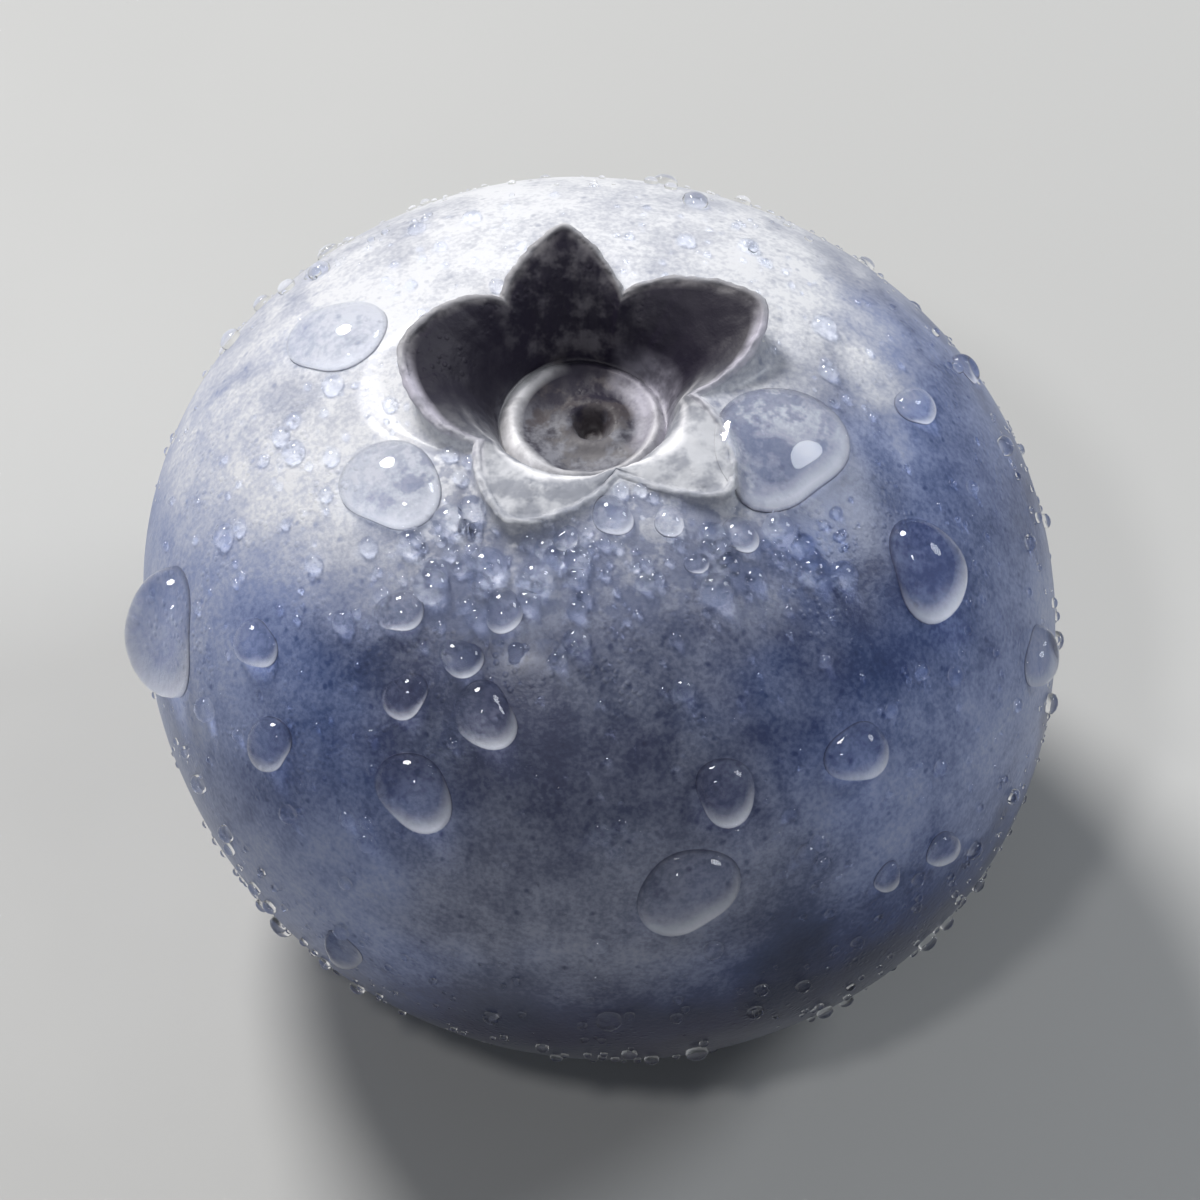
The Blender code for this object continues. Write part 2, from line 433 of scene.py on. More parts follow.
def crown_wall(berry, turn):
    """Bezier corners of the crown's inside and outside, and what its edge needs."""
    point = lobe_point(turn)
    radius, height = edge_point(berry, turn, point)
    thickness = mix(NOTCH_THICKNESS, LOBE_THICKNESS, point)
    lip = height - 0.25 * thickness
    disc, level = disc_edge(berry, turn), berry.disc_height
    bent, ridge = bent_over(turn), throat(berry, turn)
    ridge_height = berry.notch_height + RIDGE_RISE * point
    inside = [
        (disc, level - DISC_GROOVE + 0 * turn),
        (mix(mix(disc, radius, 0.2), ridge, bent), mix(mix(level, lip, 0.5), ridge_height, bent)),
        (
            mix(mix(disc, radius, 0.6), np.minimum(ridge + RIDGE_WIDTH, radius), bent),
            mix(mix(level, lip, 0.85), ridge_height, bent),
        ),
        (radius, lip),
    ]
    outer = radius + thickness
    rise = height - body_height(berry, outer)
    free = np.clip((rise - FLAT_LOBE_RISE) / (FREE_LOBE_RISE - FLAT_LOBE_RISE), 0, 1)
    neck = mix(outer, NECK_RADIUS, free)
    foot = mix(NOTCH_FOOT, LOBE_FOOT, 0.5 + 0.5 * np.cos(LOBES * turn))
    heel = mix(neck, foot, 0.3)
    outside = [
        (outer, height - 0.3 * thickness),
        (neck, body_height(berry, neck) + 0.15 * MM * free),
        (heel, body_height(berry, heel) - FURROW),
        (foot, body_height(berry, foot)),
    ]
    return inside, outside, (radius, height, thickness, foot)


def outline(berry, turn):
    """Radius and height of every ring, as rings by turns, and the marks that the materials read."""
    flat = 0 * turn
    inside, outside, (radius, height, thickness, foot) = crown_wall(berry, turn)
    rings, marks = [], []

    def add(r, z, shift=0, **mark):
        rings.append((r + flat, z + flat))
        marks.append({"shift": shift, **mark})

    disc = disc_outline(berry, turn)
    for ring, (r, z) in enumerate(disc):
        part = ring / (len(disc) - 1)
        # The rim, ridge and pale marks place painted light: a painted highlight along the disc's rim and
        # the throat's ridge, and painted light on the disc's side.
        rim = fade(abs(ring - len(disc) + DISC_STEPS), 0, 6)
        add(r, z, shift=1, inside=1, disc=1, rim=rim, blotch=fade(part, 0, 0.75), pale=fade(part, 0.7, 0.5))
    for ring in range(1, WALL_RINGS + 1):
        part = ring / WALL_RINGS
        add(
            *bezier(inside, part),
            shift=1,
            inside=1,
            disc=fade(part, 0, 1 / 8),
            pale=fade(part, 0, 0.3),
            edge=fade(part, 1, 11 / 12),
            ridge=fade(abs(part - RIDGE_PART), 0, 0.12),
        )
    for ring in range(1, EDGE_RINGS + 1):
        part = ring / EDGE_RINGS
        past = part - EDGE_CREST
        fall = 0.25 * (past / EDGE_CREST) ** 2 if past < 0 else 0.3 * (past / (1 - EDGE_CREST)) ** 2
        add(radius + thickness * part, height - thickness * fall, shift=1, inside=1 - part, edge=1)
    spread = body_radius(foot, body_angle(berry, foot), turn) - foot
    for ring in range(1, OUTSIDE_RINGS):
        part = ring / OUTSIDE_RINGS
        r, z = bezier(outside, part)
        add(r + spread * part**2, z, shift=1 - part, edge=fade(part, 0, 0.1), collar=part)
    first = body_angle(berry, foot)
    last = math.pi - body_angle(berry, berry.rest_radius)
    for ring in range(BODY_RINGS):
        angle = mix(first, last, ring / BODY_RINGS)
        half_height = np.where(angle < math.pi / 2, berry.upper_half, berry.lower_half)
        r, z = superellipse(berry, angle, half_height)
        add(body_radius(r, angle, turn), z, collar=fade(ring, 0, COLLAR_RINGS))
    scar = berry.stem_scar
    for r, z in stem_outline(berry):
        add(r, z, stem=fade(r, scar, scar + 0.1 * MM), dimple=fade(r, scar, REST_INNER))
    return np.array(rings), marks


# Berry


def points_of(mesh):
    points = np.empty(len(mesh.vertices) * 3)
    mesh.vertices.foreach_get("co", points)
    return points.reshape(-1, 3)


def ring_and_turn(mesh, steps):
    """Ring number and turn of every vertex of a sphere, from the places it was made with."""
    places = points_of(mesh)
    ring = np.round(np.arccos(np.clip(places[:, 2], -1, 1)) / math.pi * steps).astype(int)
    column = np.round(np.arctan2(places[:, 1], places[:, 0]) / math.tau * SEGMENTS).astype(int)
    return ring, column % SEGMENTS


def write_mark(mesh, name, values):
    mesh.attributes.new(name, "FLOAT", "POINT").data.foreach_set("value", values)


def add_marks(mesh, marks, ring, columns, turn):
    """Writes where each kind of surface is, and where light is painted, for the relief and the materials.
    """
    bent = bent_over(turn)[columns]
    azimuth = lobe_azimuth(turn)[columns]

    def along(name):
        return np.array([mark.get(name, 0) for mark in marks], float)[ring]

    def facing(degrees, steepness, less, most=1):
        """How much a point lies on the crown's side that faces this way."""
        return np.clip(steepness * np.cos(azimuth - math.radians(degrees)) - less, 0, most)

    for name in ("inside", "disc", "blotch", "edge", "stem", "dimple"):
        write_mark(mesh, name, along(name))
    write_mark(mesh, "bent", bent)
    write_mark(mesh, "collar", along("collar") * bent)
    # Painted highlight: the rim on its left side and its front right, and the ridge of the flat lobes.
    rim = along("rim") * np.maximum(facing(187, 1.5, 0.25), facing(-35, 1.2, 0.4, 0.7))
    write_mark(mesh, "rim", np.maximum(rim, 0.8 * along("ridge") * bent))
    # Painted light on the disc's right side.
    write_mark(mesh, "pale", along("pale") * facing(15, 2, 0.9))
    around = np.stack([np.cos(turn), np.sin(turn), 0 * turn], axis=1)[columns]
    mesh.attributes.new("around", "FLOAT_VECTOR", "POINT").data.foreach_set("vector", around.ravel())


def sphere_tree():
    nodes, given, output = geometry_tree("sphere", {"Int": ("Segments", "Rings"), "Float": ("Radius",)})
    settings = {name: given[name] for name in ("Segments", "Rings", "Radius")}
    ball = nodes.add("GeometryNodeMeshUVSphere", settings)
    nodes.feed(output[0], nodes.add("GeometryNodeRealizeInstances", {0: ball.outputs[0]}).outputs[0])
    return nodes.tree


def sphere_mesh(segments, rings):
    """A unit sphere from Geometry Nodes, which makes a dense one at once."""
    tree = bpy.data.node_groups.get("sphere") or sphere_tree()
    holder = new_object("sphere", bpy.data.meshes.new("sphere"))
    made = run_tree(holder, tree, {"Segments": segments, "Rings": rings, "Radius": 1.0}, "sphere")
    mesh = made.data
    bpy.data.objects.remove(made)
    bpy.data.objects.remove(holder)
    return mesh


def berry_mesh(berry):
    turn = np.arange(SEGMENTS) * math.tau / SEGMENTS
    turn = np.where(turn > math.pi, turn - math.tau, turn)
    rings, marks = outline(berry, turn)
    steps = len(rings) - 1
    mesh = sphere_mesh(SEGMENTS, steps)
    ring, column = ring_and_turn(mesh, steps)
    radius, height = rings[ring, 0, column], rings[ring, 1, column]
    azimuth = lobe_azimuth(turn)[column]
    shift = CROWN_SHIFT * np.array([mark["shift"] for mark in marks])[ring]
    across = radius * np.cos(azimuth) - shift
    places = np.stack([across, radius * np.sin(azimuth), height - rest_height(berry)], 1)
    mesh.vertices.foreach_set("co", places.ravel())
    add_marks(mesh, marks, ring, column, turn)
    mesh.shade_smooth()
    mesh.update()
    return mesh


# Node trees


class Nodes:
    """Adds nodes to a tree. Their inputs are values or other nodes' outputs, by name or number."""

    def __init__(self, tree):
        self.tree = tree

    def add(self, kind, inputs=None, **settings):
        node = self.tree.nodes.new(kind)
        for key, value in settings.items():
            setattr(node, key, value)
        for key, value in (inputs or {}).items():
            self.feed(node.inputs[key], value)
        return node

    def feed(self, socket, value):
        if isinstance(value, bpy.types.NodeSocket):
            self.tree.links.new(value, socket)
        else:
            socket.default_value = (*value, 1) if socket.type == "RGBA" else value

    def math(self, operation, *values):
        return self.add("ShaderNodeMath", dict(enumerate(values)), operation=operation).outputs[0]

    def total(self, first, *others):
        for other in others:
            first = self.math("ADD", first, other)
        return first

    def product(self, first, *others):
        for other in others:
            first = self.math("MULTIPLY", first, other)
        return first

    def opposite(self, value):
        return self.math("SUBTRACT", 1, value)

    def scaled(self, vector, by):
        settings = {0: vector, "Scale": by}
        return self.add("ShaderNodeVectorMath", settings, operation="SCALE").outputs[0]

    def parts(self, vector):
        return self.add("ShaderNodeSeparateXYZ", {0: vector}).outputs

    def noise(self, place, size, detail=2, roughness=0.5):
        """Noise whose patches are about this many metres wide."""
        settings = {"Vector": place, "Scale": 1 / size, "Detail": detail, "Roughness": roughness}
        return self.add("ShaderNodeTexNoise", settings).outputs[0]

    def cells(self, place, size):
        """Distance from the middle of the nearest of cells that are about this wide."""
        return self.add("ShaderNodeTexVoronoi", {"Vector": place, "Scale": 1 / size}).outputs["Distance"]

    def range(self, value, low, high, to_low=0, to_high=1, kind="SMOOTHSTEP"):
        settings = {0: value, 1: low, 2: high, 3: to_low, 4: to_high}
        return self.add("ShaderNodeMapRange", settings, interpolation_type=kind).outputs[0]

    def mix_colour(self, part, a, b):
        return self.add("ShaderNodeMix", {0: part, 6: a, 7: b}, data_type="RGBA").outputs[2]

    def mix_value(self, part, a, b):
        return self.add("ShaderNodeMix", {0: part, 2: a, 3: b}).outputs[0]

    def bump(self, height, strength, depth):
        settings = {"Height": height, "Strength": strength, "Distance": depth}
        return self.add("ShaderNodeBump", settings).outputs[0]

    def place(self):
        return self.add("ShaderNodeTexCoord").outputs["Object"]

    def mark(self, name):
        """A value that the mesh holds for the materials."""
        return self.add("ShaderNodeAttribute", attribute_name=name).outputs["Fac"]

    def named(self, name, kind="FLOAT"):
        """A value that the mesh holds, read in Geometry Nodes."""
        return self.add("GeometryNodeInputNamedAttribute", {"Name": name}, data_type=kind).outputs[0]


def geometry_tree(name, inputs):
    """A Geometry Nodes tree with a mesh going in and out and these inputs, which are named by kind."""
    tree = bpy.data.node_groups.new(name, "GeometryNodeTree")
    tree.interface.new_socket("Geometry", in_out="INPUT", socket_type="NodeSocketGeometry")
    for kind, labels in inputs.items():
        for label in labels:
            tree.interface.new_socket(label, in_out="INPUT", socket_type="NodeSocket" + kind)
    tree.interface.new_socket("Geometry", in_out="OUTPUT", socket_type="NodeSocketGeometry")
    nodes = Nodes(tree)
    return nodes, nodes.add("NodeGroupInput").outputs, nodes.add("NodeGroupOutput").inputs


def end_tree(nodes, output, geometry, material):
    """Ends a tree with real meshes in one material."""
    real = nodes.add("GeometryNodeRealizeInstances", {"Geometry": geometry}).outputs[0]
    settings = {"Geometry": real, "Material": material}
    nodes.feed(output[0], nodes.add("GeometryNodeSetMaterial", settings).outputs[0])


def run_tree(source, tree, values, name):
    """The plain mesh that a tree makes of an object, in a new object."""
    modifier = source.modifiers.new(tree.name, "NODES")
    modifier.node_group = tree
    sockets = {item.name: item.identifier for item in tree.interface.items_tree if item.in_out == "INPUT"}
    for label, value in values.items():
        modifier[sockets[label]] = value
    graph = bpy.context.evaluated_depsgraph_get()
    mesh = bpy.data.meshes.new_from_object(source.evaluated_get(graph))
    source.modifiers.remove(modifier)
    if len(mesh.materials) > 1:
        mesh.materials.pop(index=0)
        mesh.polygons.foreach_set("material_index", [0] * len(mesh.polygons))
    mesh.name = name
    return new_object(name, mesh)


def relief_tree():
    """Moves the skin along its normals: dents, wrinkles in the crown, fibres in the stalk's scar."""
    inputs = {"Float": ("Skin relief", "Crown relief", "Scar relief"), "Material": ("Material",)}
    nodes, given, output = geometry_tree("skin_relief", inputs)
    place = nodes.add("GeometryNodeInputPosition").outputs[0]
    inside, edge, stem, disc = (nodes.named(name) for name in ("inside", "edge", "stem", "disc"))
    around = nodes.named("around", "FLOAT_VECTOR")

    def wave(vector, size, detail=2, strength=2):
        level = nodes.math("SUBTRACT", nodes.noise(vector, size, detail), 0.5)
        return nodes.math("MULTIPLY", level, strength)

    dents = nodes.total(wave(place, 3.2 * MM), wave(place, 0.9 * MM, strength=0.7))
    outside = nodes.opposite(nodes.math("MAXIMUM", inside, edge))
    skin = nodes.product(dents, outside, given["Skin relief"])

    folds = nodes.product(wave(around, 0.16, 3, strength=1.4), nodes.opposite(disc))
    creases = wave(place, 0.35 * MM, 3, strength=1)
    lumps = nodes.product(wave(place, 0.8 * MM, 1, strength=3), disc)
    wrinkles = nodes.total(folds, creases, lumps)
    within = nodes.product(inside, nodes.opposite(nodes.product(disc, 0.4)))
    ragged = nodes.product(wave(place, 0.22 * MM, 3), edge)
    crown = nodes.total(nodes.product(wrinkles, within), ragged)
    crown = nodes.product(crown, given["Crown relief"])

    fibres = nodes.total(wave(place, 0.5 * MM, 4), wave(place, 0.16 * MM, strength=0.8))
    scar = nodes.product(fibres, stem, given["Scar relief"])

    normal = nodes.add("GeometryNodeInputNormal").outputs[0]
    offset = nodes.scaled(normal, nodes.total(skin, crown, scar))
    moved = nodes.add("GeometryNodeSetPosition", {"Geometry": given["Geometry"], "Offset": offset})
    end_tree(nodes, output, moved.outputs[0], given["Material"])
    return nodes.tree


def new_material(name, even=None):
    """A material, its nodes, and its shader's inputs and output. Even holds what is the same all over."""
    material = bpy.data.materials.new(name)
    material.use_nodes = True
    shader = material.node_tree.nodes["Principled BSDF"]
    for label, value in (even or {}).items():
        shader.inputs[label].default_value = value
    return material, Nodes(material.node_tree), shader.inputs, shader.outputs[0]


class SkinTextures:
    """The patterns that the skin's colours and relief share, from the broadest to the finest."""

    def __init__(self, nodes, place):
        self.clouds = nodes.noise(place, 4.5 * MM, 2, 0.55)
        self.islands = nodes.noise(place, 2.8 * MM, 2, 0.6)
        self.crumbs = nodes.noise(place, 0.5 * MM, 3, 0.6)
        self.fine = nodes.noise(place, 0.28 * MM, 3, 0.6)
        self.patches = nodes.range(self.clouds, 0.36, 0.64)
        self.mottle = nodes.range(nodes.noise(place, 0.9 * MM, 3, 0.6), 0.3, 0.7)
        self.grain = nodes.range(nodes.noise(place, 0.11 * MM, 2, 0.6), 0.3, 0.7)


def bloom_cover(nodes, place, textures):
    """The level toward the lamp at the top left, and how much wax lies on the skin: most there, least low
    in front, partly painted light and shade.
    """
    across, _, height = nodes.parts(place)
    way = nodes.add("ShaderNodeVectorMath", {0: place, 1: BLOOM_AND_LIGHT_WAY}, operation="DOT_PRODUCT")
    wander = nodes.range(across, -2 * MM, 5 * MM, 0.3 * MM, 1.1 * MM)
    wander = nodes.product(nodes.range(textures.islands, 0.32, 0.68, -0.6, 1.2), wander)
    level = nodes.total(way.outputs["Value"], wander)

    # Wax and painted light and shade: thin low down, where the berry lies in shade, a dip at middle level,
    # a painted shade on the front where the lamp's light falls off, and thickest toward the lamp.
    film = nodes.range(level, 0.5 * MM, 5.5 * MM, 0.04, 0.42)
    film = nodes.math("SUBTRACT", film, nodes.range(level, 5.5 * MM, 8.5 * MM, 0, 0.15))
    bloom_and_painted_light = nodes.total(film, nodes.range(level, 10 * MM, 13.5 * MM, 0, 0.73))
    leftward = nodes.range(across, -8 * MM, -4 * MM, 0.46, 0)
    height = nodes.total(height, nodes.product(textures.patches, 1.2 * MM))
    underneath = nodes.range(height, 0.3 * MM, 2.6 * MM, 0.45, 0)
    bloom_and_painted_light = nodes.math("MAXIMUM", nodes.math("MAXIMUM", bloom_and_painted_light, leftward), underneath)
    bloom_and_painted_light = nodes.product(bloom_and_painted_light, nodes.opposite(nodes.mark("dimple")))

    streaks = nodes.add("ShaderNodeMapping", {0: place, 2: (0.3, 0.5, 0.9), 3: (1, 1, 0.35)})
    rubbed = nodes.range(nodes.noise(streaks.outputs[0], 0.8 * MM, 3, 0.6), 0.52, 0.72)
    rubbed = nodes.product(rubbed, nodes.range(textures.clouds, 0.45, 0.62, 1, 0))
    specks = nodes.range(nodes.cells(place, 0.42 * MM), 0.05, 0.22, 1, 0)
    bloom_and_painted_light = nodes.product(
        bloom_and_painted_light,
        nodes.mix_value(textures.patches, 0.74, 1),
        nodes.mix_value(textures.mottle, 0.74, 1.04),
        nodes.mix_value(textures.grain, 0.80, 1.06),
        nodes.mix_value(rubbed, 1, 0.75),
        nodes.mix_value(specks, 1, 0.72),
    )
    return level, nodes.math("MINIMUM", bloom_and_painted_light, 1)


def skin_colour(nodes, berry, place, textures, level, bloom_and_painted_light):
    """Bare skin, a thin blue film and thick wax, as the wax grows; under a drop, a little darker, with a
    painted shade along its edge and a painted caustic.
    """
    across = nodes.math("ABSOLUTE", nodes.parts(place)[0])
    sideways = nodes.total(across, nodes.product(textures.patches, 2 * MM))
    sideways = nodes.math("SUBTRACT", sideways, nodes.range(level, 8 * MM, 12 * MM, 0, 2.5 * MM))
    sideways = nodes.range(sideways, 2 * MM, 6.5 * MM)
    bare = nodes.mix_colour(nodes.range(textures.islands, 0.4, 0.6), berry.skin, berry.violet)
    film = nodes.mix_colour(sideways, berry.thin_bloom, berry.blue_bloom)
    thin = nodes.mix_colour(nodes.range(bloom_and_painted_light, 0, 0.3, kind="LINEAR"), bare, film)
    skin = nodes.mix_colour(nodes.range(bloom_and_painted_light, 0.15, 0.85, kind="LINEAR"), thin, berry.bloom)
    soaked = nodes.range(textures.crumbs, 0.44, 0.54, 0.1, 0.6)
    soaked = nodes.product(nodes.range(nodes.mark("collar"), 0, 0.45), soaked)
    skin = nodes.mix_colour(soaked, skin, film)
    # Under a drop the skin is a little darker, and darkest along the drop's edge, a painted shade.
    skin = nodes.mix_colour(nodes.product(nodes.mark("wet"), 0.7), skin, bare)
    # A painted caustic: light that a drop gathers, painted in the bloom's colour on the side away from the
    # lamp.
    return nodes.mix_colour(nodes.product(nodes.mark("painted_caustic"), 0.75), skin, berry.bloom)


def crown_colour(nodes, berry, textures, backward):
    """Dark dusty lobes, pale flat ones, and the disc with its scar, a painted shadow at its back, painted
    light on its side and a painted highlight on its rim.
    """
    crumbs = textures.crumbs
    inside = berry.lobe_inside
    dust = nodes.product(nodes.range(crumbs, 0.44, 0.68), nodes.range(backward, 0.55, 0.95, 0.08, 1))
    lobes = nodes.mix_colour(dust, inside, berry.lobe_dust)
    waxy = nodes.range(crumbs, 0.38, 0.62, 0, 0.6)
    flat = nodes.mix_colour(waxy, berry.flat_lobe, berry.bloom)
    lobes = nodes.mix_colour(nodes.mark("bent"), lobes, flat)

    disc = nodes.mix_colour(nodes.range(textures.fine, 0.35, 0.7), berry.disc, inside)
    # Painted shadow: the disc's back, under the standing lobes, takes their dark colour.
    disc = nodes.mix_colour(nodes.range(backward, 0.1, 0.75, 0, 0.95), disc, inside)
    blotch = nodes.total(nodes.mark("blotch"), nodes.range(crumbs, 0.3, 0.7))
    disc = nodes.mix_colour(nodes.range(blotch, 0.6, 1.2), disc, berry.scar_edge)
    within = nodes.mix_colour(nodes.product(nodes.mark("disc"), 0.85), lobes, disc)
    # Painted light on the disc's right side.
    pale = nodes.product(nodes.mark("pale"), nodes.range(crumbs, 0.3, 0.6, 0.3, 0.8))
    within = nodes.mix_colour(pale, within, berry.painted_light_disc)
    # Painted highlight along the rim and the ridge.
    rim = nodes.product(nodes.mark("rim"), nodes.range(crumbs, 0.3, 0.55, 0.6, 1))
    return nodes.mix_colour(rim, within, berry.rim)


def dry_edge(nodes, berry, textures, edge, backward):
    """Share and colour of the crown's dry edge, which is palest in front, where a painted highlight in the
    disc's painted-light colour is added.
    """
    # A painted highlight along the front of the edge.
    frontal = nodes.range(backward, 0.12, 0.38, 1, 0)
    dry = nodes.total(nodes.range(textures.crumbs, 0.3, 0.6, 0.1, 0.6), nodes.product(frontal, 0.4))
    dry = nodes.product(edge, dry, nodes.opposite(nodes.mark("bent")))
    return dry, nodes.mix_colour(frontal, berry.dry_edge, berry.painted_light_disc)


def skin_material(berry):
    """Dark skin under mottled wax, the crown's dark inside, its dry edge and the stalk's scar."""
    even = {
        "Specular IOR Level": 0.3,
        "Sheen Weight": 0.06,
        "Sheen Roughness": 0.45,
        "Sheen Tint": (0.75, 0.82, 1, 1),
        "Coat Roughness": 0.16,
    }
    material, nodes, shader, _ = new_material("blueberry_skin", even)
    place = nodes.place()
    inside, edge, stem = (nodes.mark(name) for name in ("inside", "edge", "stem"))
    around = nodes.add("ShaderNodeAttribute", attribute_name="around").outputs["Vector"]
    backward = nodes.parts(around)[0]
    textures = SkinTextures(nodes, place)

    level, bloom_and_painted_light = bloom_cover(nodes, place, textures)
    shown = skin_colour(nodes, berry, place, textures, level, bloom_and_painted_light)
    shown = nodes.mix_colour(inside, shown, crown_colour(nodes, berry, textures, backward))
    dry, dry_colour = dry_edge(nodes, berry, textures, edge, backward)
    shown = nodes.mix_colour(dry, shown, dry_colour)
    scar = nodes.mix_colour(nodes.range(textures.fine, 0.35, 0.7), berry.stem, berry.fibre)
    nodes.feed(shader["Base Color"], nodes.mix_colour(stem, shown, scar))

    rough = nodes.mix_value(bloom_and_painted_light, 0.30, 0.66)
    rough = nodes.mix_value(inside, rough, 0.55)
    nodes.feed(shader["Roughness"], nodes.mix_value(stem, rough, 0.8))
    coat = nodes.range(textures.islands, 0.42, 0.62, 0.15, 0)
    glossy = nodes.opposite(nodes.math("MAXIMUM", stem, inside))
    nodes.feed(shader["Coat Weight"], nodes.product(coat, glossy))

    mist = nodes.range(nodes.cells(place, 0.17 * MM), 0.12, 0.42, 0.8, 0)
    mist = nodes.product(mist, nodes.range(nodes.noise(place, 1.6 * MM, 1), 0.44, 0.62))
    relief = nodes.total(nodes.product(textures.grain, 0.25), mist, nodes.product(textures.mottle, 0.3))
    nodes.feed(shader["Normal"], nodes.bump(relief, 0.55, 0.018 * MM))
    return material


def water_material():
    """Clear water. It lets lamps through, so that the skin under a drop is lit."""
    even = {"Base Color": (1, 1, 1, 1), "Roughness": 0, "IOR": WATER_IOR, "Transmission Weight": 1}
    material, nodes, shader, surface = new_material("water", even)
    ripple = nodes.noise(nodes.place(), 0.7 * MM, 1)
    nodes.feed(shader["Normal"], nodes.bump(ripple, 0.15, 0.02 * MM))
    clear = nodes.add("ShaderNodeBsdfTransparent", {"Color": WATER_SHADE})
    shadow = nodes.add("ShaderNodeLightPath").outputs["Is Shadow Ray"]
    both = nodes.add("ShaderNodeMixShader", {0: shadow, 1: surface, 2: clear.outputs[0]})
    nodes.feed(nodes.tree.nodes["Material Output"].inputs["Surface"], both.outputs[0])
    return material


def shared_water():
    return bpy.data.materials.get("water") or water_material()


# Water


@dataclass
class Drop:
    """A large drop. Rise is its height for its width, and wobble changes its uneven edge."""

    place: Vector
    normal: Vector
    half_width: float
    rise: float
    wobble: float

    def __post_init__(self):
        down = Vector((0, 0, -1)) - self.normal * self.normal.dot(Vector((0, 0, -1)))
        self.steep = min(1, down.length)
        level = self.normal.cross(Vector((0, 1, 0)))
        self.side = (level if self.steep < 0.05 else down).normalized()
        self.across = self.normal.cross(self.side)

    def spread(self, x, y):
        """Place on the skin, along and across the slope, of a point of a unit circle."""
        angle = math.atan2(y, x)
        edge = 1 + DROP_OVAL * math.cos(2 * angle + self.wobble)
        edge += DROP_THREE_SIDED * math.cos(3 * angle - 2 * self.wobble)
        edge *= self.half_width * (1 + DROP_LENGTHENING * self.steep * math.cos(angle))
        return edge * x, edge * y

    def at(self, a, b, level):
        return self.place + self.side * a + self.across * b + self.normal * level


def find_drops(berry, tree):
    """Casts each large drop from the camera's side onto the skin."""
    right = Vector((1, 0, 0))
    back = toward(0, VIEW_ELEVATION)
    up = back.cross(right)
    middle = Vector((0, 0, -rest_height(berry)))
    found = []
    for number, (across, along, width, rise) in enumerate(LARGE_DROPS):
        start = middle + (right * across + up * along + back * 4) * berry.radius
        place, normal, _, _ = tree.ray_cast(start, -back)
        if place is None:
            raise RuntimeError(f"a drop at {across}, {along} misses the berry")
        found.append(Drop(place, normal, 0.5 * width * berry.radius, rise, wobble=2.4 * number))
    return found


def joined_balls(name, drops, ball, place_of):
    """One mesh with a ball for each drop, each of its points moved by place_of."""
    shape = bmesh.new()
    for drop in drops:
        first = len(shape.verts)
        shape.from_mesh(ball)
        shape.verts.ensure_lookup_table()
        for vertex in shape.verts[first:]:
            vertex.co = place_of(drop, *vertex.co)
    bmesh.ops.recalc_face_normals(shape, faces=shape.faces)
    mesh = bpy.data.meshes.new(name)
    shape.to_mesh(mesh)
    shape.free()
    mesh.shade_smooth()
    return mesh


def on_drop(drop, x, y, z):
    """A dome that bulges a little downhill and follows the curve of the berry."""
    height = 2 * drop.half_width * drop.rise
    a, b = drop.spread(x, y)
    level = height * z**DROP_FULLNESS if z > 0 else DROP_FOOT * height * z
    a += DROP_SAG * drop.steep * level * (1 - 0.3 * math.hypot(x, y))
    level -= (a * a + b * b) * DROP_CURVE + DROP_SINK * drop.half_width
    return drop.at(a, b, level)


def film_marks(drop, x, y):
    """How wet and how bright the skin looks under a drop, at a point of a unit circle, with painted light
    and shade.

    It is wettest at the drop's edge, where the darkening is a painted shade, and has a painted caustic far
    from the lamp, where the drop gathers the light.
    """
    lamp = Vector((LAMP_WAY.dot(drop.side), LAMP_WAY.dot(drop.across))).normalized()
    far = math.hypot(x, y)
    beyond = math.hypot(x - 0.5 * lamp.x, y - 0.5 * lamp.y)
    # Painted shade along the drop's edge, on a slight darkening of the wet skin.
    wet = max(0.25, fade(abs(far - 0.97), 0, 0.12))
    # A painted caustic on the side away from the lamp.
    painted_caustic = fade(beyond, 1.35, 1) * fade(far, 0.89, 0.99)
    return wet, painted_caustic


def wet_skin_mesh(drops, tree, skin):
    """A thin film under each large drop, which shows the skin as seen through water, with its painted shade
    and painted caustic.
    """
    kinds = ("inside", "edge", "bent", "collar")
    under = {name: np.empty(len(skin.vertices), np.float32) for name in kinds}
    for name in kinds:
        skin.attributes[name].data.foreach_get("value", under[name])
    marks = {name: [] for name in (*kinds, "wet", "painted_caustic")}

    def on_skin(drop, x, y, z):
        a, b = drop.spread(x, y)
        hit, _, face, _ = tree.ray_cast(drop.at(a, b, drop.half_width), -drop.normal, 4 * drop.half_width)
        corner = skin.polygons[face].vertices[0] if hit else 0
        wet, painted_caustic = film_marks(drop, x, y)
        marks["wet"].append(wet)
        marks["painted_caustic"].append(painted_caustic)
        for name in kinds:
            marks[name].append(under[name][corner])
        flat = drop.at(a, b, -(a * a + b * b) * DROP_CURVE)
        return (hit or flat) + drop.normal * (FILM_LIFT if z > -0.01 else -FILM_DEPTH)

    mesh = joined_balls("wet_skin_and_painted_light", drops, sphere_mesh(DROP_SEGMENTS, FILM_RINGS), on_skin)
    for name, values in marks.items():
        write_mark(mesh, name, values)
    return mesh


def mark_covered(mesh, drops):
    """Marks the skin under the large drops, where no small ones lie."""
    points = points_of(mesh)
    covered = np.zeros(len(points))
    for drop in drops:
        far = np.linalg.norm(points - np.array(drop.place), axis=1) / drop.half_width
        covered = np.maximum(covered, np.clip((1.25 - far) / 0.1, 0, 1))
    write_mark(mesh, "covered", covered)


